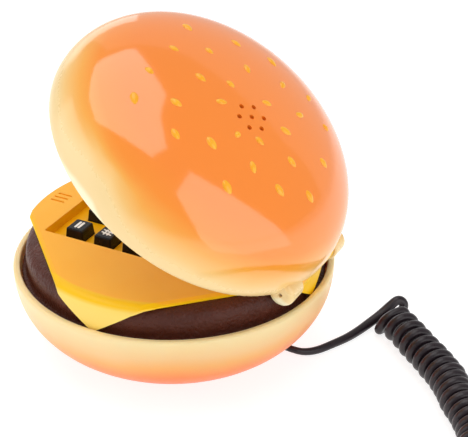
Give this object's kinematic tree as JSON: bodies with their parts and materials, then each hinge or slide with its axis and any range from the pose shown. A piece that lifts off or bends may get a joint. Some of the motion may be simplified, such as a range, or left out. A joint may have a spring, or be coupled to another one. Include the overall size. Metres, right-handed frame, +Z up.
{
  "type": "novelty clamshell telephone",
  "caption": "Push-button telephone shaped as a burger: a hinged bun lid opens over a cheese-slice keypad on a patty and lower bun, with a curly line cord.",
  "frame": {"origin": "middle of the underside of the foot, on the bun's own axis", "axes": "+Z up, +Y towards the hinge at the back, -Y towards the microphone at the front, X along the hinge pin"},
  "size_m": [0.1556, 0.1979, 0.1243],
  "materials": {
    "top_bun": "glossy orange shading to cream at the rim",
    "bottom_bun": "satin cream shading to peach below",
    "patty": "satin dark brown with a fine leathery grain",
    "cheese": "satin yellow",
    "liner": "satin cream",
    "seed": "glossy yellow",
    "key_black": "satin black with printed white legends",
    "cord": "satin brown-black jacket",
    "rubber": "matte black",
    "silicone": "matte grey",
    "board": "green solder mask",
    "component_black": "matte black",
    "capsule": "dull aluminium",
    "steel": "bright steel",
    "contacts": "gold-coloured",
    "clear_plug": "clear plastic"
  },
  "bodies": {
    "base": {"bottom_bun_shell": "bottom_bun", "foot_pad": "rubber", "patty_ring": "patty", "cheese_plate": "cheese", "keypad_mat": "silicone", "main_board": "board", "board_screws": "steel", "dialler_chip": "component_black", "capacitors": "component_black", "hook_switch_body": "component_black", "microphone": "capsule", "base_screws": "steel", "ringer_switch_body": "component_black", "strain_relief": "cord", "line_cord_lead": "cord", "line_cord_coil": "cord", "line_cord_tail": "cord", "line_plug": "clear_plug", "plug_contacts": "contacts"},
    "lid": {"top_bun_shell": "top_bun", "lid_liner": "liner", "earpiece": "capsule", "ringer_sounder": "contacts", "lid_screws": "steel", "hinge_pin": "steel", "sesame_seeds": "seed"},
    "key_fn_left": {"key_fn_left": "key_black"},
    "key_fn_mid": {"key_fn_mid": "key_black"},
    "key_fn_right": {"key_fn_right": "key_black"},
    "key_star": {"key_star": "key_black"},
    "key_0": {"key_0": "key_black"},
    "key_hash": {"key_hash": "key_black"},
    "key_7": {"key_7": "key_black"},
    "key_8": {"key_8": "key_black"},
    "key_9": {"key_9": "key_black"},
    "key_4": {"key_4": "key_black"},
    "key_5": {"key_5": "key_black"},
    "key_6": {"key_6": "key_black"},
    "key_1": {"key_1": "key_black"},
    "key_2": {"key_2": "key_black"},
    "key_3": {"key_3": "key_black"},
    "hook_plunger": {"hook_plunger": "liner"},
    "ringer_switch_slider": {"ringer_switch_slider": "key_black"}
  },
  "joints": [
    {"name": "lid_hinge", "type": "hinge", "parent": "base", "child": "lid", "pos_m": [0, 0.0552, 0.0449], "axis": [-1, 0, 0], "range_deg": [-36, 59]},
    {"name": "key_fn_left_press", "type": "slide", "parent": "base", "child": "key_fn_left", "axis": [0, 0, -1], "range_m": [0, 0.0012], "stiffness_N_per_m": 350},
    {"name": "key_fn_mid_press", "type": "slide", "parent": "base", "child": "key_fn_mid", "axis": [0, 0, -1], "range_m": [0, 0.0012], "stiffness_N_per_m": 350},
    {"name": "key_fn_right_press", "type": "slide", "parent": "base", "child": "key_fn_right", "axis": [0, 0, -1], "range_m": [0, 0.0012], "stiffness_N_per_m": 350},
    {"name": "key_star_press", "type": "slide", "parent": "base", "child": "key_star", "axis": [0, 0, -1], "range_m": [0, 0.0012], "stiffness_N_per_m": 350},
    {"name": "key_0_press", "type": "slide", "parent": "base", "child": "key_0", "axis": [0, 0, -1], "range_m": [0, 0.0012], "stiffness_N_per_m": 350},
    {"name": "key_hash_press", "type": "slide", "parent": "base", "child": "key_hash", "axis": [0, 0, -1], "range_m": [0, 0.0012], "stiffness_N_per_m": 350},
    {"name": "key_7_press", "type": "slide", "parent": "base", "child": "key_7", "axis": [0, 0, -1], "range_m": [0, 0.0012], "stiffness_N_per_m": 350},
    {"name": "key_8_press", "type": "slide", "parent": "base", "child": "key_8", "axis": [0, 0, -1], "range_m": [0, 0.0012], "stiffness_N_per_m": 350},
    {"name": "key_9_press", "type": "slide", "parent": "base", "child": "key_9", "axis": [0, 0, -1], "range_m": [0, 0.0012], "stiffness_N_per_m": 350},
    {"name": "key_4_press", "type": "slide", "parent": "base", "child": "key_4", "axis": [0, 0, -1], "range_m": [0, 0.0012], "stiffness_N_per_m": 350},
    {"name": "key_5_press", "type": "slide", "parent": "base", "child": "key_5", "axis": [0, 0, -1], "range_m": [0, 0.0012], "stiffness_N_per_m": 350},
    {"name": "key_6_press", "type": "slide", "parent": "base", "child": "key_6", "axis": [0, 0, -1], "range_m": [0, 0.0012], "stiffness_N_per_m": 350},
    {"name": "key_1_press", "type": "slide", "parent": "base", "child": "key_1", "axis": [0, 0, -1], "range_m": [0, 0.0012], "stiffness_N_per_m": 350},
    {"name": "key_2_press", "type": "slide", "parent": "base", "child": "key_2", "axis": [0, 0, -1], "range_m": [0, 0.0012], "stiffness_N_per_m": 350},
    {"name": "key_3_press", "type": "slide", "parent": "base", "child": "key_3", "axis": [0, 0, -1], "range_m": [0, 0.0012], "stiffness_N_per_m": 350},
    {"name": "hook_plunger_press", "type": "slide", "parent": "base", "child": "hook_plunger", "axis": [0, 0, -1], "range_m": [0, 0.0018], "stiffness_N_per_m": 250},
    {"name": "ringer_switch_slide", "type": "slide", "parent": "base", "child": "ringer_switch_slider", "axis": [1, 0, 0], "range_m": [0, 0.004]}
  ]
}
